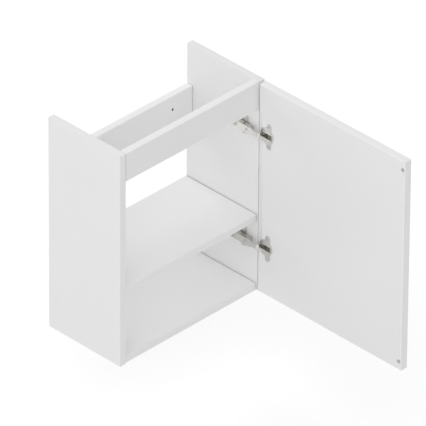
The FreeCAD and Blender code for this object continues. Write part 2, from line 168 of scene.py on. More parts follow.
class CabinetFittings(bpy.types.PropertyGroup):
    """Sizes of the small fittings."""

    eased_edge: metres("Eased edge", "Rounding on the hinges' pressed edges", 0.3 * MM)
    recess_width: metres("Recess width", "Width of a cross recess's arms", 1.0 * MM)
    recess_depth: metres("Recess depth", "Depth of a cross recess", 1.1 * MM)
    cam_chamfer: metres("Cam chamfer", "Bevel round a cam's face", 0.5 * MM)
    cam_cross_width: metres("Cam cross width", "Width of the cam's cross recess", 1.6 * MM)
    cam_cross_length: metres("Cam cross length", "Span of the cam's cross recess", 8.0 * MM)
    cam_cross_depth: metres("Cam cross depth", "Depth of the cam's cross recess", 2.5 * MM)
    cam_pocket_radius: metres("Cam pocket", "Radius of the cam's pocket for the bolt head", 3.6 * MM)
    cam_pocket_level: metres("Cam pocket level", "From a cam's face to its pocket's middle", 8.0 * MM)
    pad_flat_share: fraction("Pad flat share", "Share of a pad's height below its dome", 0.35)
    dome_steps: IntProperty(name="Dome steps", description="Rings in a pad's dome", default=6, min=2)


class CabinetStage(bpy.types.PropertyGroup):
    """Camera, floor and light."""

    azimuth: FloatProperty(name="Azimuth", description="Camera's turn round the cabinet from its front",
                           default=math.radians(-45.356), subtype="ANGLE", unit="ROTATION")
    elevation: FloatProperty(name="Elevation", description="Camera's height above the horizon",
                             default=math.radians(33.664), subtype="ANGLE", unit="ROTATION")
    roll: FloatProperty(name="Roll", description="Camera's turn about its own line of sight",
                        default=math.radians(0.42), subtype="ANGLE", unit="ROTATION")
    distance: metres("Distance", "From the camera to the point it looks at", 17.916)
    aim: FloatVectorProperty(name="Aim", description="Point that the camera looks at",
                             default=(0.15648, -0.10232, -0.21849), subtype="XYZ", unit="LENGTH", size=3)
    lens: FloatProperty(name="Lens", description="Focal length for a 36 mm sensor", default=760.3,
                        unit="CAMERA", min=1)
    floor_drop: metres("Floor drop", "From the hung cabinet's underside to the floor", 0.23)
    ambient: FloatProperty(name="Ambient", description="Even light from all round", default=0.57, min=0)
    key: watts("Key", "Power of the lamp high on the front left", 22.0)
    back: watts("Back", "Power of the lamp behind the open back", 40.0)
    side: watts("Side", "Power of the lamp on the left, behind the cabinet", 5.0)
    low: watts("Low", "Power of the low lamp on the left, in front of the cabinet", 14.0)
    floor_white: colour("Floor white", "Pale floor", (0.85, 0.85, 0.85))
    floor_glow: fraction("Floor glow", "Share of white added to the floor that shows near the cabinet", 0.3)


# Node helpers

def add(tree, kind, inputs=None, **settings):
    """Adds a node, with its settings, and feeds its inputs from values or from other nodes' sockets."""
    made = tree.nodes.new(kind)
    for name, value in settings.items():
        setattr(made, name, value)
    for key, value in (inputs or {}).items():
        if isinstance(value, bpy.types.NodeSocket):
            tree.links.new(value, made.inputs[key])
        else:
            made.inputs[key].default_value = value
    return made


def result_of(tree, operation, first, second=0.0, third=0.0):
    """The result of a Math node."""
    return add(tree, "ShaderNodeMath", {0: first, 1: second, 2: third}, operation=operation).outputs[0]


def times(tree, first, second):
    """Two values multiplied."""
    return result_of(tree, "MULTIPLY", first, second)


def mixed(tree, factor, first, second):
    """Two colours mixed by a factor."""
    return add(tree, "ShaderNodeMix", {0: factor, 6: first, 7: second}, data_type="RGBA").outputs[2]


def between(tree, factor, first, second):
    """A number between two others, by a factor."""
    return add(tree, "ShaderNodeMix", {0: factor, 2: first, 3: second}).outputs[0]


def ranged(tree, value, low, high):
    """A 0 to 1 value spread from low to high."""
    return add(tree, "ShaderNodeMapRange", {"Value": value, "To Min": low, "To Max": high}).outputs["Result"]


def progress(tree, value, start, end):
    """How far a value has come from a start to an end, from 0 to 1."""
    inputs = {"Value": value, "From Min": start, "From Max": end}
    return add(tree, "ShaderNodeMapRange", inputs).outputs["Result"]


def noise(tree, place, scale, detail=2.0, roughness=0.5):
    """Noise of a scale per metre, from 0 to 1."""
    inputs = {"Vector": place, "Scale": scale, "Detail": detail, "Roughness": roughness}
    return add(tree, "ShaderNodeTexNoise", inputs).outputs["Fac"]


def stretched(tree, place, scale):
    """Coordinates scaled apart along each axis."""
    return add(tree, "ShaderNodeMapping", {"Vector": place, "Scale": scale}).outputs["Vector"]


def bumped(tree, height, depth):
    """A surface normal from a height pattern of a depth in metres."""
    bump = add(tree, "ShaderNodeBump", {"Height": height, "Strength": 1.0, "Distance": depth})
    return bump.outputs["Normal"]


def opaque(rgb, gain=1.0):
    """An RGBA colour from RGB, made lighter or darker by a gain."""
    return tuple(min(1.0, channel * gain) for channel in rgb) + (1.0,)


def tinted(tree, pattern, rgb, tints):
    """A colour that a 0 to 1 pattern varies between two tints of it."""
    first, second = tints
    return mixed(tree, pattern, opaque(rgb, first), opaque(rgb, second))


def new_material(name, **constants):
    """A material with one surface shader whose constant sockets are set, its tree and its coordinates."""
    material = bpy.data.materials.new(name)
    material.use_nodes = True
    tree = material.node_tree
    tree.nodes.clear()
    surface = add(tree, "ShaderNodeBsdfPrincipled", constants)
    add(tree, "ShaderNodeOutputMaterial", {"Surface": surface.outputs["BSDF"]})
    place = add(tree, "ShaderNodeTexCoord").outputs["Object"]
    return material, tree, surface, place


def feed(tree, surface, **sockets):
    """Links patterns to a surface shader's sockets, with _ for each space in a socket's name."""
    for name, value in sockets.items():
        tree.links.new(value, surface.inputs[name.replace("_", " ")])


# Materials

# A white sheet's slow change of tone, its gloss and its pearl grain
SHEET_TINTS = (0.985, 1.015)
TONE_SCALE = 7.0
GLOSS_SCALE = 60.0
GLOSS_SPREAD = 0.05
PEARL_SCALE = 900.0
PEARL_DEPTH = 0.005 * MM


def white_sheet(tree, place, white, roughness):
    """Colour, roughness and height of a white satin sheet with a fine pearl grain."""
    tone = tinted(tree, noise(tree, place, TONE_SCALE), white, SHEET_TINTS)
    clouds = noise(tree, place, GLOSS_SCALE)
    gloss = ranged(tree, clouds, roughness - GLOSS_SPREAD, roughness + GLOSS_SPREAD)
    return tone, gloss, noise(tree, place, PEARL_SCALE, detail=3.0)


CHIP_DEPTH = 0.3 * MM
CHIP_ROUGHNESS = 0.9
# Chips per metre: large and small ones in the core, and dust under the faces
CHIP_SCALES = (190.0, 420.0, 900.0)
# How much thinner a chip is across the board than along it, and how ragged its outline is
CHIP_FLATNESS = 3.2
RAGGED_SCALE = 420.0
RAGGED_SHIFT = 5 * MM
# Patches of the core whose noise passes the level have small chips
PATCH_SCALE = 150.0
PATCH_LEVEL = 0.5
# Shares of the half thickness where the core ends and where the fine layer is full
CORE_SHARE = 0.5
FACE_SHARE = 0.8
FIBRE_SCALE = 1500.0
FIBRE_WEIGHT = 0.6
CHIP_WEIGHT = 0.5
# Open pits between the chips
PIT_SCALE = 330.0
PIT_LEVEL = 0.66
PIT_TONE = 0.3


def chipboard(tree, place, axis, finishes, across):
    """Colour and height of a cut chipboard edge, whose ragged flat chips are finer near the board's faces."""
    lying = stretched(tree, place, tuple(CHIP_FLATNESS if name == axis else 1.0 for name in AXES))
    shift = add(tree, "ShaderNodeTexNoise", {"Vector": lying, "Scale": RAGGED_SCALE, "Detail": 3.0})
    ragged = add(tree, "ShaderNodeVectorMath", {0: shift.outputs["Color"], 1: (RAGGED_SHIFT,) * 3, 2: lying},
                 operation="MULTIPLY_ADD")
    shades = []
    for scale in CHIP_SCALES:
        cells = add(tree, "ShaderNodeTexVoronoi", {"Vector": ragged.outputs[0], "Scale": scale})
        shades.append(add(tree, "ShaderNodeRGBToBW", {"Color": cells.outputs["Color"]}).outputs[0])
    large, small, dust = shades
    broken = result_of(tree, "GREATER_THAN", noise(tree, lying, PATCH_SCALE), PATCH_LEVEL)
    core = between(tree, broken, large, small)
    chips = between(tree, progress(tree, across, CORE_SHARE, FACE_SHARE), core, dust)
    fibre = noise(tree, lying, FIBRE_SCALE, detail=4.0)
    weighed = times(tree, chips, CHIP_WEIGHT)
    tone = result_of(tree, "MULTIPLY_ADD", fibre, FIBRE_WEIGHT, weighed)
    pits = result_of(tree, "GREATER_THAN", noise(tree, lying, PIT_SCALE), PIT_LEVEL)
    value = times(tree, tone, ranged(tree, pits, 1.0, PIT_TONE))
    return mixed(tree, value, opaque(finishes.chip_dark), opaque(finishes.chip_light)), value


# Depth of the foil that counts as a board's face
FACE_FOIL = 0.15 * MM


def melamine_board(node, axis, finishes):
    """White melamine on a board's two faces, and chipboard on its cut edges and in its bores."""
    material, tree, surface, place = new_material("melamine_" + node)
    low, high = (corner[AXES.index(axis)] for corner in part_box(node))
    half = (high - low) / 2
    along = add(tree, "ShaderNodeSeparateXYZ", {"Vector": place}).outputs[axis.upper()]
    from_middle = result_of(tree, "ABSOLUTE", result_of(tree, "SUBTRACT", along, low + half))
    on_face = result_of(tree, "GREATER_THAN", from_middle, half - FACE_FOIL)
    white, gloss, pearl = white_sheet(tree, place, finishes.board_white, finishes.board_roughness)
    chips, relief = chipboard(tree, place, axis, finishes, result_of(tree, "DIVIDE", from_middle, half))
    shallow = times(tree, pearl, PEARL_DEPTH / CHIP_DEPTH)
    height = between(tree, on_face, relief, shallow)
    feed(tree, surface, Base_Color=mixed(tree, on_face, chips, white),
         Roughness=between(tree, on_face, CHIP_ROUGHNESS, gloss), Normal=bumped(tree, height, CHIP_DEPTH))
    return material


def white_plastic(name, white, roughness):
    """White plastic or foil with a fine grain."""
    material, tree, surface, place = new_material(name)
    tone, gloss, pearl = white_sheet(tree, place, white, roughness)
    feed(tree, surface, Base_Color=tone, Roughness=gloss, Normal=bumped(tree, pearl, PEARL_DEPTH))
    return material


# The grip's lacquer is painted darker with this power of its depth, as painted shade in the recess, so it is
# dark soon below the rim
PAINTED_SHADE_POWER = 0.33


def routed_lacquer_with_painted_shade(name, finishes, grip, face_x):
    """Matt lacquer that is white at the door's face, with shade painted in darker further in."""
    material, tree, surface, place = new_material(name)
    tone, gloss, pearl = white_sheet(tree, place, finishes.door_white, finishes.grip_roughness)
    x = add(tree, "ShaderNodeSeparateXYZ", {"Vector": place}).outputs["X"]
    # How far in each point lies, which sets how much painted shade it gets
    painted_shade_share = result_of(tree, "POWER", progress(tree, x, face_x, face_x - grip.depth), PAINTED_SHADE_POWER)
    feed(tree, surface, Base_Color=mixed(tree, painted_shade_share, tone, opaque(finishes.grip_painted_shade)),
         Roughness=gloss, Normal=bumped(tree, pearl, PEARL_DEPTH))
    return material


PLATING_TINTS = (0.92, 1.06)
CLOUD_SCALE = 120.0
# Most that the clouding takes from and adds to the roughness
CLOUD_SMOOTHER = 0.06
CLOUD_ROUGHER = 0.16
MARK_STRETCH = (1.0, 1.0, 12.0)
MARK_DEPTH = 0.01 * MM


def plated_metal(name, tint, roughness, mark_scale):
    """Plated steel with a faint clouding and fine rolling marks."""
    material, tree, surface, place = new_material(name, Metallic=1.0)
    cloud = noise(tree, place, CLOUD_SCALE, detail=4.0)
    marks = noise(tree, stretched(tree, place, MARK_STRETCH), mark_scale, detail=3.0)
    gloss = ranged(tree, times(tree, cloud, marks),
                   roughness - CLOUD_SMOOTHER, roughness + CLOUD_ROUGHER)
    feed(tree, surface, Base_Color=tinted(tree, cloud, tint, PLATING_TINTS), Roughness=gloss,
         Normal=bumped(tree, marks, MARK_DEPTH))
    return material


CASTING_TINTS = (0.85, 1.1)
CASTING_ROUGHNESS = (0.38, 0.58)
CASTING_TONE_SCALE = 300.0
CASTING_PIT_SCALE = 1500.0
CASTING_PIT_DEPTH = 0.06 * MM


def cast_metal(name, tint):
    """Die-cast zinc with a dull, finely pitted skin."""
    material, tree, surface, place = new_material(name, Metallic=1.0)
    pits = noise(tree, place, CASTING_PIT_SCALE, detail=4.0, roughness=0.6)
    tone = tinted(tree, noise(tree, place, CASTING_TONE_SCALE), tint, CASTING_TINTS)
    feed(tree, surface, Base_Color=tone, Roughness=ranged(tree, pits, *CASTING_ROUGHNESS),
         Normal=bumped(tree, pits, CASTING_PIT_DEPTH))
    return material


BEECH_TINTS = (0.8, 1.15)
BEECH_ROUGHNESS = (0.6, 0.75)
GRAIN_SCALE = 900.0
GRAIN_STRETCH = (0.08, 1.0, 1.0)
GRAIN_DEPTH = 0.08 * MM
FLECK_SCALE = 2200.0
FLECK_STRETCH = (0.3, 1.0, 1.0)
FLECK_LEVEL = 0.66
FLECK_TINT = 0.55


def turned_beech(name, tint):
    """Beech with its grain along X and short dark flecks."""
    material, tree, surface, place = new_material(name)
    grain = noise(tree, stretched(tree, place, GRAIN_STRETCH), GRAIN_SCALE, detail=4.0)
    flecks = noise(tree, stretched(tree, place, FLECK_STRETCH), FLECK_SCALE)
    flecked = result_of(tree, "GREATER_THAN", flecks, FLECK_LEVEL)
    tone = mixed(tree, flecked, tinted(tree, grain, tint, BEECH_TINTS), opaque(tint, FLECK_TINT))
    feed(tree, surface, Base_Color=tone, Roughness=ranged(tree, grain, *BEECH_ROUGHNESS),
         Normal=bumped(tree, grain, GRAIN_DEPTH))
    return material


PAD_TINTS = (0.95, 1.05)
PAD_ROUGHNESS = (0.3, 0.42)
PAD_CLEARNESS = {"Transmission Weight": 0.35, "IOR": 1.42}
HAZE_SCALE = 500.0
HAZE_DEPTH = 0.03 * MM


def soft_pad(name, tint):
    """Translucent soft plastic with a hazy skin."""
    material, tree, surface, place = new_material(name, **PAD_CLEARNESS)
    haze = noise(tree, place, HAZE_SCALE, detail=3.0)
    feed(tree, surface, Base_Color=tinted(tree, haze, tint, PAD_TINTS),
         Roughness=ranged(tree, haze, *PAD_ROUGHNESS), Normal=bumped(tree, haze, HAZE_DEPTH))
    return material


def material_named(name, make, *values):
    """The material of a name, made on its first use."""
    return bpy.data.materials.get(name) or make(name, *values)


# Roughness and rolling marks per metre of each plating
ZINC_FINISH = (0.3, 1400.0)
NICKEL_FINISH = (0.26, 900.0)


def steel(finishes):
    """The zinc-plated steel of screws, bolts and pins."""
    return material_named("zinc_plated_steel", plated_metal, finishes.zinc, *ZINC_FINISH)


def nickel(finishes):
    """The nickel-plated steel of hinge plates, arms and cups."""
    return material_named("nickel_plated_steel", plated_metal, finishes.nickel, *NICKEL_FINISH)


def dress(node, material):
    """Gives a frame node's object one material."""
    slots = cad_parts[node].data.materials
    slots.clear()
    slots.append(material)


# Meshes

def corners(points):
    """The lowest and the highest corner round some points."""
    return tuple(Vector(pick(point[i] for point in points) for i in range(3)) for pick in (min, max))


def loose_parts(node):
    """The points of each separate solid in a node."""
    bm = bmesh.new()
    bm.from_mesh(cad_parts[node].data)
    bmesh.ops.remove_doubles(bm, verts=bm.verts, dist=MERGE_DISTANCE)
    left, parts = set(bm.verts), []
    while left:
        found, queue = set(), [left.pop()]
        while queue:
            vertex = queue.pop()
            found.add(vertex)
            for edge in vertex.link_edges:
                other = edge.other_vert(vertex)
                if other in left:
                    left.discard(other)
                    queue.append(other)
        parts.append([vertex.co.copy() for vertex in found])
    bm.free()
    return parts


def merged_copy(node):
    """A node's mesh as a bmesh, with its triangles joined and its flat faces made whole."""
    bm = bmesh.new()
    bm.from_mesh(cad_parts[node].data)
    bmesh.ops.remove_doubles(bm, verts=bm.verts, dist=MERGE_DISTANCE)
    bmesh.ops.dissolve_limit(bm, angle_limit=FLAT_ANGLE, verts=bm.verts, edges=bm.edges)
    return bm


def new_piece(name, mesh):
    """An object for a finished mesh, at the origin."""
    piece = bpy.data.objects.new(name, mesh)
    bpy.context.scene.collection.objects.link(piece)
    return piece


def shade(mesh):
    """Shades a mesh smooth, up to the angle that counts as an edge."""
    mesh.shade_smooth()
    mesh.set_sharp_from_angle(angle=SMOOTH_ANGLE)


def flatten_modifiers(piece):
    """Turns a piece and its modifiers into a plain mesh."""
    graph = bpy.context.evaluated_depsgraph_get()
    mesh = bpy.data.meshes.new_from_object(piece.evaluated_get(graph), depsgraph=graph)
    piece.modifiers.clear()
    piece.data = mesh
    mesh.name = piece.name
    return mesh


def settle(piece, body, slot, *nodes):
    """Puts a finished piece on its body in place of the nodes that it stands for."""
    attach(piece, body)
    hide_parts(*nodes)


EASED_SEGMENTS = 2


def eased_copy(node, name, width, material):
    """A copy of a node whose sharp edges are slightly rounded."""
    bm = merged_copy(node)
    mesh = bpy.data.meshes.new(name)
    bm.to_mesh(mesh)
    bm.free()
    mesh.materials.append(material)
    mesh.shade_smooth()
    piece = new_piece(name, mesh)
    bevel = piece.modifiers.new("Eased edges", "BEVEL")
    bevel.width = width
    bevel.segments = EASED_SEGMENTS
    bevel.limit_method = "ANGLE"
    bevel.angle_limit = SMOOTH_ANGLE
    piece.modifiers.new("Flat faces stay flat", "WEIGHTED_NORMAL")
    flatten_modifiers(piece)
    return piece


# Geometry node trees for what repeats

def new_tree(name, sizes):
    """A geometry tree with named size inputs and a material input, and the sockets of those inputs."""
    tree = bpy.data.node_groups.new(name, "GeometryNodeTree")
    tree.interface.new_socket("Geometry", in_out="INPUT", socket_type="NodeSocketGeometry")
    for size in sizes:
        tree.interface.new_socket(size, in_out="INPUT", socket_type="NodeSocketFloat")
    tree.interface.new_socket("Material", in_out="INPUT", socket_type="NodeSocketMaterial")
    tree.interface.new_socket("Geometry", in_out="OUTPUT", socket_type="NodeSocketGeometry")
    return tree, add(tree, "NodeGroupInput").outputs


def vector(tree, values):
    """A vector of an X, a Y and a Z, each a value or a socket."""
    return add(tree, "ShaderNodeCombineXYZ", dict(zip("XYZ", values))).outputs[0]


def moved(tree, mesh, place, rotation=(0.0, 0.0, 0.0)):
    """A mesh turned and then moved to a place."""
    inputs = {"Geometry": mesh, "Translation": vector(tree, place), "Rotation": rotation}
    return add(tree, "GeometryNodeTransform", inputs).outputs["Geometry"]


def round_bar(tree, radius, depth, sides, top=0.0):
    """A bar along Z whose upper face lies at a height, with that face's selection."""
    bar = add(tree, "GeometryNodeMeshCylinder", {"Vertices": sides, "Radius": radius, "Depth": depth}).outputs
    lift = result_of(tree, "SUBTRACT", top, times(tree, depth, 0.5))
    return moved(tree, bar["Mesh"], (0.0, 0.0, lift)), bar["Top"]


def stepped(tree, mesh, top, rise, factor):
    """Raises a mesh's top face by a rise and widens or narrows it by a factor."""
    raised = add(tree, "GeometryNodeExtrudeMesh", {"Mesh": mesh, "Selection": top, "Offset Scale": rise})
    inputs = {"Geometry": raised.outputs["Mesh"], "Selection": raised.outputs["Top"], "Scale": factor}
    return add(tree, "GeometryNodeScaleElements", inputs).outputs["Geometry"], raised.outputs["Top"]


def block(tree, size, place):
    """A block of three sizes about a place."""
    cube = add(tree, "GeometryNodeMeshCube", {"Size": vector(tree, size)}).outputs["Mesh"]
    return moved(tree, cube, place)


def cut_away(tree, mesh, cutters):
    """A mesh with other meshes cut out of it."""
    cut = add(tree, "GeometryNodeMeshBoolean", {"Mesh 1": mesh}, operation="DIFFERENCE", solver="MANIFOLD")
    for cutter in cutters:
        tree.links.new(cutter, cut.inputs["Mesh 2"])
    return cut.outputs["Mesh"]


def cross_cutters(tree, span, width, depth, top):
    """Two crossed blocks that cut a recess of a depth into a face at a height."""
    tall = times(tree, depth, 2.0)
    middle = (0.0, 0.0, top)
    return [block(tree, (span, width, tall), middle), block(tree, (width, span, tall), middle)]


def set_on_seats(tree, inputs, mesh):
    """Sets a mesh on every seat, with its Z outward and its X along the seat's toward, and ends the tree."""
    turn = None
    for axis, name in (("Z", "outward"), ("X", "toward")):
        stored = add(tree, "GeometryNodeInputNamedAttribute", {"Name": name}, data_type="FLOAT_VECTOR")
        align = {"Vector": stored.outputs["Attribute"]}
        pivot = "AUTO"
        if turn:
            align["Rotation"] = turn
            pivot = "Z"
        turn = add(tree, "FunctionNodeAlignRotationToVector", align, axis=axis, pivot_axis=pivot).outputs[0]
    placed = add(tree, "GeometryNodeInstanceOnPoints",
                 {"Points": inputs["Geometry"], "Instance": mesh, "Rotation": turn})
    real = add(tree, "GeometryNodeRealizeInstances", {"Geometry": placed.outputs["Instances"]})
    dressed = add(tree, "GeometryNodeSetMaterial",
                  {"Geometry": real.outputs["Geometry"], "Material": inputs["Material"]})
    add(tree, "NodeGroupOutput", {"Geometry": dressed.outputs["Geometry"]})
    return tree


SCREW_SIDES = 40
RECESS_SPAN = 1.15
# Share of a pan head's height that each step rises, and how much it narrows there
PAN_HEAD_STEPS = ((0.5, 1.0), (0.22, 0.965), (0.16, 0.92), (0.12, 0.84))
GRUB_BEVEL_RISE = 0.1
GRUB_BEVEL_WIDTH = 0.88


def recessed(tree, inputs, mesh, radius, top):
    """Cuts a screw's cross recess into its face at a height, and ends the tree."""
    span = times(tree, radius, RECESS_SPAN)
    cutters = cross_cutters(tree, span, inputs["Recess width"], inputs["Recess depth"], top)
    return set_on_seats(tree, inputs, cut_away(tree, mesh, cutters))


def screw_tree():
    """A screw with a rounded pan head and a cross recess, seated under its head."""
    sizes = ("Head radius", "Head height", "Shank radius", "Shank length", "Recess width", "Recess depth")
    tree, inputs = new_tree("Cross-recess screws", sizes)
    head, shank = inputs["Head radius"], inputs["Shank radius"]
    rise = inputs["Head height"]
    mesh, top = round_bar(tree, shank, inputs["Shank length"], SCREW_SIDES)
    mesh, top = stepped(tree, mesh, top, 0.0, result_of(tree, "DIVIDE", head, shank))
    for height_share, factor in PAN_HEAD_STEPS:
        mesh, top = stepped(tree, mesh, top, times(tree, rise, height_share), factor)
    return recessed(tree, inputs, mesh, head, rise)


def grub_screw_tree():
    """A headless screw with a bevelled end and a cross recess, seated at its foot."""
    sizes = ("Shank radius", "Shank length", "Recess width", "Recess depth")
    tree, inputs = new_tree("Headless screws", sizes)
    radius, rise = inputs["Shank radius"], inputs["Shank length"]
    bevel = times(tree, rise, GRUB_BEVEL_RISE)
    body = result_of(tree, "SUBTRACT", rise, bevel)
    mesh, top = round_bar(tree, radius, body, SCREW_SIDES, body)
    mesh, top = stepped(tree, mesh, top, bevel, GRUB_BEVEL_WIDTH)
    return recessed(tree, inputs, mesh, radius, rise)


CAM_SIDES = 48
# The pointer's corners, and its size, reach and level as shares of the cam's radius and of its bevel
POINTER_SIDES = 3
POINTER_RADIUS = 0.18
POINTER_REACH = 0.74
POINTER_LEVEL = 0.4


def cam_tree():
    """A cam with a bevelled face, a cross recess, a pointer and a pocket for the bolt head."""
    sizes = ("Radius", "Depth", "Chamfer", "Cross span", "Cross width", "Cross depth", "Pocket radius",
             "Pocket level")
    tree, inputs = new_tree("Cam locks", sizes)
    radius, chamfer = inputs["Radius"], inputs["Chamfer"]
    body = result_of(tree, "SUBTRACT", inputs["Depth"], chamfer)
    mesh, top = round_bar(tree, radius, body, CAM_SIDES, times(tree, chamfer, -1.0))
    narrowing = result_of(tree, "SUBTRACT", 1.0, result_of(tree, "DIVIDE", chamfer, radius))
    mesh, top = stepped(tree, mesh, top, chamfer, narrowing)
    cutters = cross_cutters(tree, inputs["Cross span"], inputs["Cross width"], inputs["Cross depth"], 0.0)
    pocket, _ = round_bar(tree, inputs["Pocket radius"], times(tree, radius, 2.0), SCREW_SIDES)
    back = times(tree, inputs["Pocket radius"], -1.0)
    below = times(tree, inputs["Pocket level"], -1.0)
    cutters.append(moved(tree, pocket, (back, 0.0, below), (0.0, -math.pi / 2, 0.0)))
    pointer_radius = times(tree, radius, POINTER_RADIUS)
    pointer_top = times(tree, chamfer, POINTER_LEVEL)
    pointer, _ = round_bar(tree, pointer_radius, chamfer, POINTER_SIDES, pointer_top)
    ahead = times(tree, radius, POINTER_REACH)
    cutters.append(moved(tree, pointer, (ahead, 0.0, 0.0), (0.0, 0.0, -math.pi / 2)))
    return set_on_seats(tree, inputs, cut_away(tree, mesh, cutters))


PAD_SIDES = 40
DOME_ARC = math.radians(80)


def pad_tree(steps):
    """A round pad with a domed face."""
    tree, inputs = new_tree("Bumper pads", ("Radius", "Height", "Flat share"))
    radius, height = inputs["Radius"], inputs["Height"]
    wall = times(tree, height, inputs["Flat share"])
    mesh, top = round_bar(tree, radius, wall, PAD_SIDES, wall)
    dome = result_of(tree, "SUBTRACT", height, wall)
    ring, level = 1.0, 0.0
    for step in range(1, steps + 1):
        angle = step / steps * DOME_ARC
        next_ring, next_level = math.cos(angle), math.sin(angle) / math.sin(DOME_ARC)
        rise = times(tree, dome, next_level - level)
        mesh, top = stepped(tree, mesh, top, rise, next_ring / ring)
        ring, level = next_ring, next_level
    return set_on_seats(tree, inputs, mesh)


def repeat_on(name, tree, seats, sizes, material):
    """A piece that repeats a tree's shape on seats, each a place, an outward and a toward direction."""
    mesh = bpy.data.meshes.new(name)
    mesh.from_pydata([place for place, _, _ in seats], [], [])
    for key, column in (("outward", 1), ("toward", 2)):
        attribute = mesh.attributes.new(key, "FLOAT_VECTOR", "POINT")
        for row, seat in zip(attribute.data, seats):
            row.vector = seat[column]
    piece = new_piece(name, mesh)
    modifier = piece.modifiers.new(tree.name, "NODES")
    modifier.node_group = tree
    for item in tree.interface.items_tree:
        if item.in_out == "INPUT" and item.name in sizes:
            modifier[item.identifier] = sizes[item.name]
        elif item.in_out == "INPUT" and item.name == "Material":
            modifier[item.identifier] = material
    mesh = flatten_modifiers(piece)
    shade(mesh)
    for key in ("outward", "toward"):
        if key in mesh.attributes:
            mesh.attributes.remove(mesh.attributes[key])
    return piece


# Seats of the fittings

# From the right side panel or the open door towards the middle of the cabinet
INWARD = Vector((-1, 0, 0))
UPRIGHT = Vector((0, 0, 1))


def screw_measures(points):
    """The seat and the sizes of a screw driven along +X, from its solid's points."""
    low, high = corners(points)
    middle = (low + high) / 2
    reach = {point.freeze(): math.hypot(point.y - middle.y, point.z - middle.z) for point in points}
    shank = max(reach[point] for point in reach if high.x - point.x < MERGE_DISTANCE)
    head = max(reach.values())
    if head - shank < MERGE_DISTANCE:
        seat = Vector((high.x, middle.y, middle.z))
        return seat, {"Shank radius": shank, "Shank length": high.x - low.x}
    seat_x = max(point.x for point in reach if reach[point] > (head + shank) / 2)
    seat = Vector((seat_x, middle.y, middle.z))
    return seat, {"Head radius": head, "Head height": seat_x - low.x,
                  "Shank radius": shank, "Shank length": high.x - seat_x}


def cam_seats(node, outward):
    """Seats of a board's cams, each turned to its nearer side, and the radius and depth that they share."""
    seats = []
    for points in loose_parts(node):
        low, high = corners(points)
        middle = (low + high) / 2
        depth = abs((high - low).dot(outward))
        toward = Vector((math.copysign(1.0, middle.x), 0, 0))
        seats.append((middle + outward * depth / 2, outward, toward))
    return seats, (high.x - low.x) / 2, depth


# The door's finger grip

ARC_STEPS = 5
END_STEPS = 24
RUN_STEPS = 16
# Width of the flat ring round the rim
SUPPORT_WIDTH = 0.5 * MM
# Largest shares of the depth that the rim's and the floor's roundings take where the grip is shallow
RIM_SHARE = 0.45
FILLET_SHARE = 0.5
# Rounds in which the floor's rounding and the wall's depth settle on each other
FILLET_ROUNDS = 4


def floor_depth(grip, height_share):
    """Depth of the floor at a share of the grip's height: a smooth ramp from the lip to a level channel."""
    rise = min(1.0, height_share / grip.ramp_share)
    return grip.lip_depth + (grip.depth - grip.lip_depth) * rise * rise * (3 - 2 * rise)


def floor_fillet(grip, depth):
    """Rounding between the wall and the floor where the grip has a depth."""
    return min(grip.floor_round, FILLET_SHARE * depth)


def grip_profile(depth, grip):
    """Inset and depth of each ring of the grip, from the door's face down to its floor."""
    rim = min(grip.rim_round, RIM_SHARE * depth)
    fillet = floor_fillet(grip, depth)
    rings = [(-rim - SUPPORT_WIDTH, 0.0)]
    for step in range(ARC_STEPS + 1):
        angle = step / ARC_STEPS * math.pi / 2
        rings.append((rim * (math.sin(angle) - 1), rim * (1 - math.cos(angle))))
    for step in range(ARC_STEPS + 1):
        angle = step / ARC_STEPS * math.pi / 2
        rings.append((fillet * (1 - math.cos(angle)), depth - fillet * (1 - math.sin(angle))))
    return rings


def grip_directions(grip):
    """Centres along Y and outward directions round the grip's outline, as (centre, y, z)."""
    half_run = (grip.length - grip.height) / 2
    outline = []
    for side in (1, -1):
        for step in range(RUN_STEPS):
            outline.append((side * half_run * (2 * step / RUN_STEPS - 1), 0.0, -side))
        for step in range(END_STEPS):
            angle = step / END_STEPS * math.pi - side * math.pi / 2
            outline.append((side * half_run, math.cos(angle), math.sin(angle)))
    return outline


def grip_rings(bm, grip, face_x, middle_y, middle_z):
    """The rings of vertices of the grip, from the door's face to the floor."""
    radius = grip.height / 2
    columns = []
    for centre, out_y, out_z in grip_directions(grip):
        fillet = grip.floor_round
        for _ in range(FILLET_ROUNDS):
            wall_depth = floor_depth(grip, (radius + (radius - fillet) * out_z) / grip.height)
            fillet = floor_fillet(grip, wall_depth)
        column = []
        for inset, depth in grip_profile(wall_depth, grip):
            reach = radius - inset
            column.append(bm.verts.new((face_x - depth, middle_y + centre + out_y * reach,
                                        middle_z + out_z * reach)))
        columns.append(column)
    return [list(ring) for ring in zip(*columns)]


def floor_rows(bm, grip, ring, face_x, middle_z):
    """Rows of vertices over the grip's floor, from its lower to its upper edge, inside the ring round it."""
    right, top, left = RUN_STEPS, RUN_STEPS + END_STEPS, 2 * RUN_STEPS + END_STEPS
    rows = [ring[:right + 1]]
    for step in range(1, END_STEPS):
        first, last = ring[left + END_STEPS - step], ring[right + step]
        depth = floor_depth(grip, (first.co.z - middle_z) / grip.height + 0.5)
        row = [first]
        for column in range(1, RUN_STEPS):
            place = first.co.lerp(last.co, column / RUN_STEPS)
            place.x = face_x - depth
            row.append(bm.verts.new(place))
        rows.append(row + [last])
    rows.append([ring[left]] + ring[left - 1:top - 1:-1])
    return rows


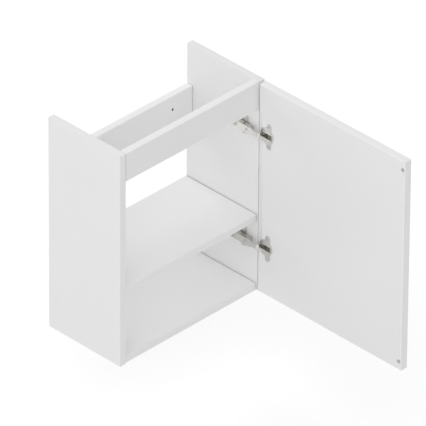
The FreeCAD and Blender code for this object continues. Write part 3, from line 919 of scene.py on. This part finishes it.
def door_leaf_mesh(grip):
    """The door's core, of a first material, with a grip of a second one whose rim and floor are rounded."""
    bm = merged_copy("door_panel")
    face_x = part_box("door_panel")[1].x
    edge_low, edge_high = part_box("door_edge_bands")
    middle_y = edge_low.y + grip.from_edge + grip.length / 2
    middle_z = edge_high.z - grip.below_top
    plain = []
    for face in bm.faces:
        centre = face.calc_center_median()
        outer = all(face_x - vertex.co.x < MERGE_DISTANCE for vertex in face.verts)
        across, above = abs(centre.y - middle_y), abs(centre.z - middle_z)
        beside = across < grip.length / 2 + MERGE_DISTANCE and above < grip.height / 2 + MERGE_DISTANCE
        recess = beside and all(face_x - vertex.co.x < grip.depth + SUPPORT_WIDTH for vertex in face.verts)
        if outer or recess:
            plain.append(face)
    bmesh.ops.delete(bm, geom=plain, context="FACES")
    border = [edge for edge in bm.edges if edge.is_boundary]
    rings = grip_rings(bm, grip, face_x, middle_y, middle_z)
    for level, (outer, inner) in enumerate(zip(rings, rings[1:])):
        for i in range(len(outer)):
            j = (i + 1) % len(outer)
            face = bm.faces.new((outer[i], outer[j], inner[j], inner[i]))
            face.material_index = int(level > ARC_STEPS)
    rows = floor_rows(bm, grip, rings[-1], face_x, middle_z)
    for lower, upper in zip(rows, rows[1:]):
        for i in range(RUN_STEPS):
            bm.faces.new((lower[i], lower[i + 1], upper[i + 1], upper[i])).material_index = 1
    rim = [bm.edges.get((rings[0][i], rings[0][i - 1])) for i in range(len(rings[0]))]
    bmesh.ops.triangle_fill(bm, edges=border + rim, use_beauty=True)
    bmesh.ops.recalc_face_normals(bm, faces=bm.faces)
    mesh = bpy.data.meshes.new("door_leaf")
    bm.to_mesh(mesh)
    bm.free()
    shade(mesh)
    return mesh


# Operators

class CABINET_OT_boards(bpy.types.Operator):
    """Finish the melamine boards of the carcass"""

    bl_idname = "cabinet.boards"
    bl_label = "Boards"

    def execute(self, context):
        for node, axis in BOARDS.items():
            dress(node, melamine_board(node, axis, context.scene.cabinet_finishes))
        return {"FINISHED"}


class CABINET_OT_edge_bands(bpy.types.Operator):
    """Finish the white strips on the boards' and the door's edges"""

    bl_idname = "cabinet.edge_bands"
    bl_label = "Edge bands"

    def execute(self, context):
        finishes = context.scene.cabinet_finishes
        for finish, nodes in EDGE_BANDS.items():
            material = white_plastic("white_" + finish, getattr(finishes, finish), finishes.band_roughness)
            for node in nodes:
                dress(node, material)
        return {"FINISHED"}


class CABINET_OT_door_leaf(bpy.types.Operator):
    """Build the door's leaf with its routed finger grip"""

    bl_idname = "cabinet.door_leaf"
    bl_label = "Door leaf"

    def execute(self, context):
        finishes = context.scene.cabinet_finishes
        grip = context.scene.cabinet_grip
        mesh = door_leaf_mesh(grip)
        mesh.materials.append(white_plastic("white_door_foil", finishes.door_white, finishes.board_roughness))
        # The grip's second material paints shade into the recess
        mesh.materials.append(routed_lacquer_with_painted_shade("grip_lacquer", finishes, grip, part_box("door_panel")[1].x))
        piece = new_piece("door_leaf", mesh)
        settle(piece, "door", "white_board", "door_panel")
        return {"FINISHED"}


class CABINET_OT_hinges(bpy.types.Operator):
    """Build the hinges' plates, arms and cups with eased edges, and finish their pins"""

    bl_idname = "cabinet.hinges"
    bl_label = "Hinges"

    def execute(self, context):
        finishes = context.scene.cabinet_finishes
        metal = nickel(finishes)
        width = context.scene.cabinet_fittings.eased_edge
        for hinge in HINGES:
            for part, body in HINGE_PARTS.items():
                node = f"{hinge}_hinge_{part}"
                settle(eased_copy(node, node + "_pressed", width, metal), body, "nickel_steel", node)
            dress(f"{hinge}_hinge_pin", steel(finishes))
        return {"FINISHED"}


class CABINET_OT_screws(bpy.types.Operator):
    """Set the hinges' cross-recess screws"""

    bl_idname = "cabinet.screws"
    bl_label = "Hinge screws"

    def execute(self, context):
        fittings = context.scene.cabinet_fittings
        material = steel(context.scene.cabinet_finishes)
        recess = {"Recess width": fittings.recess_width, "Recess depth": fittings.recess_depth}
        headed, headless = screw_tree(), grub_screw_tree()
        for part, body in HINGE_PARTS.items():
            nodes = [f"{hinge}_hinge_{part}_screws" for hinge in HINGES]
            seats = {headed: [], headless: []}
            sizes = {}
            for points in [solid for node in nodes for solid in loose_parts(node)]:
                seat, measures = screw_measures(points)
                tree = headed if "Head radius" in measures else headless
                seats[tree].append((seat, INWARD, UPRIGHT))
                sizes[tree] = {**measures, **recess}
            for tree, suffix in ((headed, "screws"), (headless, "adjusters")):
                if seats[tree]:
                    piece = repeat_on(f"hinge_{part}_{suffix}", tree, seats[tree], sizes[tree], material)
                    settle(piece, body, "bright_steel", *nodes)
        return {"FINISHED"}


class CABINET_OT_board_joints(bpy.types.Operator):
    """Set the cam locks, and finish the cam bolts and dowels"""

    bl_idname = "cabinet.board_joints"
    bl_label = "Board joints"

    def execute(self, context):
        finishes = context.scene.cabinet_finishes
        fittings = context.scene.cabinet_fittings
        zinc = material_named("cast_zinc", cast_metal, finishes.cast_zinc)
        beech = material_named("beech", turned_beech, finishes.beech)
        tree = cam_tree()
        for board, outward in CAM_FACES.items():
            node = board + "_cam_locks"
            seats, radius, depth = cam_seats(node, outward)
            sizes = {"Radius": radius, "Depth": depth, "Chamfer": fittings.cam_chamfer,
                     "Cross span": fittings.cam_cross_length, "Cross width": fittings.cam_cross_width,
                     "Cross depth": fittings.cam_cross_depth, "Pocket radius": fittings.cam_pocket_radius,
                     "Pocket level": fittings.cam_pocket_level}
            piece = repeat_on(board + "_cams", tree, seats, sizes, zinc)
            settle(piece, "carcass", "cast_zinc", node)
            dress(board + "_cam_bolts", steel(finishes))
            dress(board + "_dowels", beech)
        return {"FINISHED"}


class CABINET_OT_bumper_pads(bpy.types.Operator):
    """Set the soft pads on the back of the door"""

    bl_idname = "cabinet.bumper_pads"
    bl_label = "Bumper pads"

    def execute(self, context):
        fittings = context.scene.cabinet_fittings
        material = material_named("soft_pad", soft_pad, context.scene.cabinet_finishes.pad)
        seats = []
        for points in loose_parts("door_bumper_pads"):
            low, high = corners(points)
            middle = (low + high) / 2
            seats.append((Vector((high.x, middle.y, middle.z)), INWARD, UPRIGHT))
        sizes = {"Radius": (high.z - low.z) / 2, "Height": high.x - low.x,
                 "Flat share": fittings.pad_flat_share}
        tree = pad_tree(fittings.dome_steps)
        piece = repeat_on("door_pads", tree, seats, sizes, material)
        settle(piece, "door", "clear_pad", "door_bumper_pads")
        return {"FINISHED"}


class CABINET_OT_stage(bpy.types.Operator):
    """Set the pale floor, the soft lamps and the camera"""

    bl_idname = "cabinet.stage"
    bl_label = "Stage"

    def execute(self, context):
        stage = context.scene.cabinet_stage
        context.scene.view_settings.view_transform = "Standard"
        set_world(context.scene, stage)
        set_floor(stage)
        set_lamps(stage)
        set_camera(context.scene, stage)
        return {"FINISHED"}


# Stage

FLOOR_HALF = 30.0
FLOOR_TONE_SCALE = 2.0
FLOOR_TINTS = (0.99, 1.0)
# Distances from the cabinet's origin between which the floor's glow rises to white without the lamps
GLOW_RISE = (0.6, 2.4)
LAMP_SIZE = 3.0
LAMP_DISTANCE = 3.5
# Where each soft lamp stands, seen from the cabinet; its power is the stage setting of that name
LAMP_DIRECTIONS = {
    "key": Vector((-0.6, -0.5, 1.0)),
    "back": Vector((0.0, 1.0, 0.5)),
    "side": Vector((-0.75, 0.65, 0.3)),
    "low": Vector((-0.9, -0.42, 0.2)),
}
# Lamps that only fill in the shade and leave no glare on the boards
FILL_LAMPS = ("back", "side", "low")
# How many times the camera's distance the view reaches
VIEW_REACH = 10


def seen_directly(tree):
    """1 for what the camera sees, straight or in a mirror or through glass, and 0 for other light."""
    path = add(tree, "ShaderNodeLightPath").outputs
    seen = result_of(tree, "MAXIMUM", path["Is Camera Ray"], path["Is Glossy Ray"])
    return result_of(tree, "MAXIMUM", seen, path["Is Transmission Ray"])


def set_world(scene, stage):
    """An even ambient light, seen as a white backdrop."""
    world = bpy.data.worlds.new("white_surround")
    scene.world = world
    world.use_nodes = True
    tree = world.node_tree
    tree.nodes.clear()
    strength = between(tree, seen_directly(tree), stage.ambient, 1.0)
    background = add(tree, "ShaderNodeBackground", {"Color": (1, 1, 1, 1), "Strength": strength})
    add(tree, "ShaderNodeOutputWorld", {"Surface": background.outputs[0]})


def set_floor(stage):
    """A wide pale floor under the hung cabinet that keeps its soft shadow and is clear from below."""
    level = CAD_BOX[0].z - stage.floor_drop
    outline = [(x * FLOOR_HALF, y * FLOOR_HALF, level) for x, y in ((-1, -1), (1, -1), (1, 1), (-1, 1))]
    mesh = bpy.data.meshes.new("floor")
    mesh.from_pydata(outline, [], [(0, 1, 2, 3)])
    floor = new_piece("floor", mesh)
    material = bpy.data.materials.new("pale_floor")
    material.use_nodes = True
    tree = material.node_tree
    tree.nodes.clear()
    place = add(tree, "ShaderNodeTexCoord").outputs["Object"]
    tone = tinted(tree, noise(tree, place, FLOOR_TONE_SCALE), stage.floor_white, FLOOR_TINTS)
    matt = add(tree, "ShaderNodeBsdfDiffuse", {"Color": tone})
    away = add(tree, "ShaderNodeVectorMath", {0: place}, operation="LENGTH").outputs["Value"]
    rise = progress(tree, away, *GLOW_RISE)
    strength = ranged(tree, rise, stage.floor_glow, 1 - stage.ambient * min(stage.floor_white))
    glow = add(tree, "ShaderNodeEmission",
               {"Strength": times(tree, seen_directly(tree), strength)})
    both = add(tree, "ShaderNodeAddShader", {0: matt.outputs[0], 1: glow.outputs[0]})
    below = add(tree, "ShaderNodeNewGeometry").outputs["Backfacing"]
    clear = add(tree, "ShaderNodeBsdfTransparent")
    one_sided = add(tree, "ShaderNodeMixShader", {0: below, 1: both.outputs[0], 2: clear.outputs[0]})
    add(tree, "ShaderNodeOutputMaterial", {"Surface": one_sided.outputs[0]})
    mesh.materials.append(material)


def set_lamps(stage):
    """Large soft lamps round the cabinet."""
    middle = (CAD_BOX[0] + CAD_BOX[1]) / 2
    for name, direction in LAMP_DIRECTIONS.items():
        lamp = bpy.data.lights.new(name + "_lamp", "AREA")
        lamp.energy = getattr(stage, name)
        lamp.size = LAMP_SIZE
        lamp.shape = "DISK"
        light = bpy.data.objects.new(name + "_lamp", lamp)
        bpy.context.scene.collection.objects.link(light)
        light.location = middle + direction.normalized() * LAMP_DISTANCE
        light.rotation_euler = direction.to_track_quat("Z", "Y").to_euler()
        light.visible_camera = False
        light.visible_glossy = name not in FILL_LAMPS


def set_camera(scene, stage):
    """A long lens at the viewing angle, with the cabinet at its place in a square picture."""
    turn, rise = stage.azimuth, stage.elevation
    back = Vector((math.sin(turn) * math.cos(rise), -math.cos(turn) * math.cos(rise), math.sin(rise)))
    level = Vector((math.cos(turn), math.sin(turn), 0.0))
    right = Matrix.Rotation(stage.roll, 3, back) @ level
    up = back.cross(right)
    lens = bpy.data.cameras.new("camera")
    lens.lens = stage.lens
    lens.clip_end = VIEW_REACH * stage.distance
    camera = bpy.data.objects.new("camera", lens)
    scene.collection.objects.link(camera)
    camera.matrix_world = Matrix((right, up, back)).transposed().to_4x4()
    camera.location = Vector(stage.aim) + back * stage.distance
    scene.camera = camera


OPERATORS = (
    CABINET_OT_boards,
    CABINET_OT_edge_bands,
    CABINET_OT_door_leaf,
    CABINET_OT_hinges,
    CABINET_OT_screws,
    CABINET_OT_board_joints,
    CABINET_OT_bumper_pads,
    CABINET_OT_stage,
)
SETTINGS = {
    "cabinet_finishes": CabinetFinishes,
    "cabinet_grip": CabinetGrip,
    "cabinet_fittings": CabinetFittings,
    "cabinet_stage": CabinetStage,
}


class CABINET_PT_panel(bpy.types.Panel):
    """Settings and steps of the cabinet"""

    bl_idname = "CABINET_PT_panel"
    bl_label = "Under-sink cabinet"
    bl_space_type = "VIEW_3D"
    bl_region_type = "UI"
    bl_category = "Cabinet"

    def draw(self, context):
        for operator in OPERATORS:
            self.layout.operator(operator.bl_idname)
        for name, group in SETTINGS.items():
            box = self.layout.box()
            box.label(text=group.__doc__)
            for setting in group.__annotations__:
                box.prop(getattr(context.scene, name), setting)


def register():
    """Adds the settings, the operators and the panel."""
    for name, group in SETTINGS.items():
        bpy.utils.register_class(group)
        setattr(bpy.types.Scene, name, PointerProperty(type=group))
    for entry in OPERATORS + (CABINET_PT_panel,):
        bpy.utils.register_class(entry)


def unregister():
    """Removes the panel, the operators and the settings."""
    for entry in reversed(OPERATORS + (CABINET_PT_panel,)):
        bpy.utils.unregister_class(entry)
    for name, group in SETTINGS.items():
        delattr(bpy.types.Scene, name)
        bpy.utils.unregister_class(group)


def main():
    """Adds the settings and runs every step, which builds every piece and the stage."""
    register()
    for operator in OPERATORS:
        group, step = operator.bl_idname.split(".")
        getattr(getattr(bpy.ops, group), step)()


if __name__ == "__main__":
    main()
